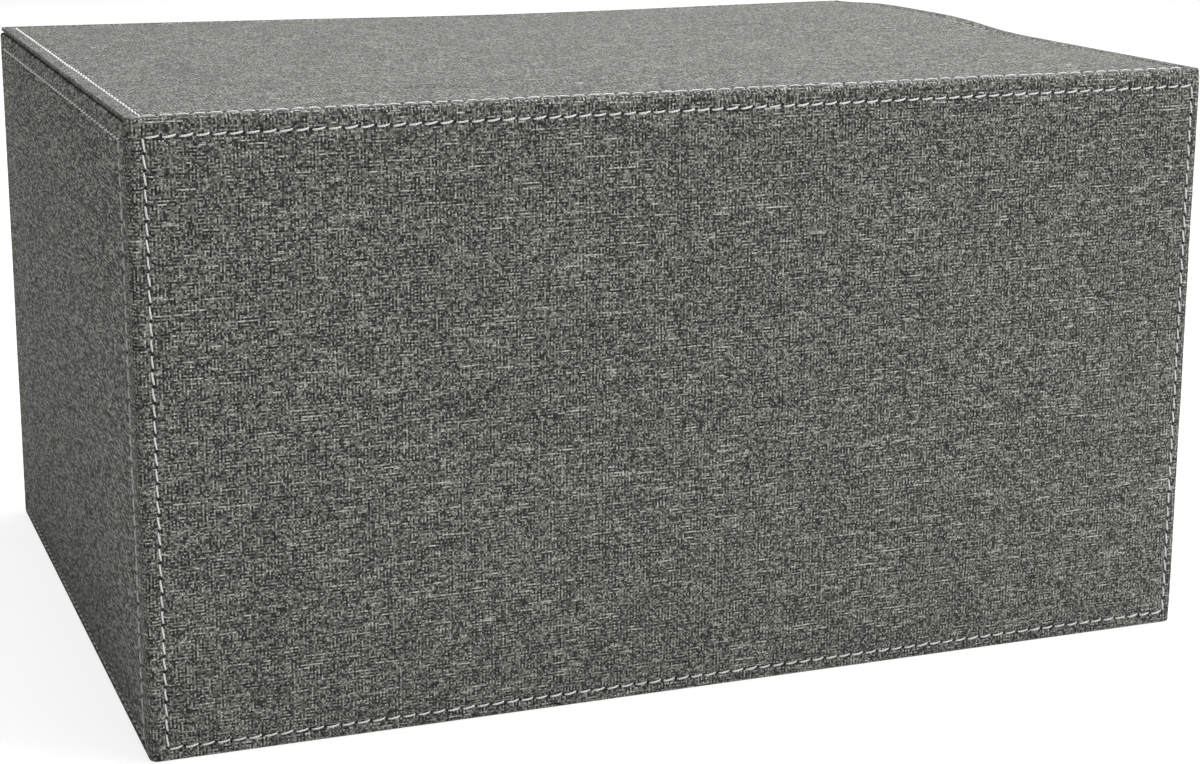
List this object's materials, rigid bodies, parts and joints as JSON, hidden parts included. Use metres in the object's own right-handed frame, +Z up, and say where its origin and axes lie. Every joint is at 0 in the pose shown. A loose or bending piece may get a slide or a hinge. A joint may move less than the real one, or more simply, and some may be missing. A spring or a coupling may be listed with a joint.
{
  "type": "file box with drawer",
  "caption": "Low rectangular desk box covered in stitched linen-look cloth, with a back-hinged lid over a file compartment and a full-width drawer with a turned knob below.",
  "frame": {"origin": "centre of the underside, on the surface that the box stands on", "axes": "+X to the right as seen from the drawer side, +Y to the hinged back, +Z up; the drawer opens towards -Y"},
  "size_m": [0.332, 0.2693, 0.18],
  "materials": {
    "cover_cloth": "heathered charcoal linen-look cloth with pale topstitching",
    "greyboard": "raw grey bookbinding board",
    "fibreboard": "thin brown fibreboard",
    "flannel": "short-napped dark grey flannel",
    "knob_metal": "turned, satin nickel",
    "zinc_steel": "zinc plated"
  },
  "bodies": {
    "box": {"wall_cover": "cover_cloth", "end_board_left": "greyboard", "end_board_right": "greyboard", "back_board": "greyboard", "base_panel_cover": "cover_cloth", "base_panel_board": "greyboard", "front_panel_cover": "cover_cloth", "front_panel_board": "greyboard", "carcass_side_left": "fibreboard", "carcass_side_right": "fibreboard", "carcass_back": "fibreboard", "carcass_floor": "fibreboard", "carcass_shelf": "fibreboard", "carcass_front": "fibreboard", "compartment_lining": "flannel", "hinge_cloth": "cover_cloth", "hinge_lining": "flannel"},
    "lid": {"lid_cover": "cover_cloth", "lid_board": "greyboard", "lid_lining": "flannel"},
    "drawer": {"drawer_face_cover": "cover_cloth", "drawer_face_board": "greyboard", "drawer_front": "fibreboard", "drawer_side_left": "fibreboard", "drawer_side_right": "fibreboard", "drawer_back": "fibreboard", "drawer_bottom": "fibreboard", "drawer_lining": "flannel", "drawer_knob": "knob_metal", "knob_screw": "zinc_steel", "knob_washer": "zinc_steel"}
  },
  "joints": [
    {"name": "lid_hinge", "type": "hinge", "parent": "box", "child": "lid", "pos_m": [0, 0.1255, 0.1795], "axis": [-1, 0, 0], "range_deg": [0, 110], "deforming": ["hinge_cloth", "hinge_lining"]},
    {"name": "drawer_slide", "type": "slide", "parent": "box", "child": "drawer", "axis": [0, -1, 0], "range_m": [0, 0.2]}
  ]
}
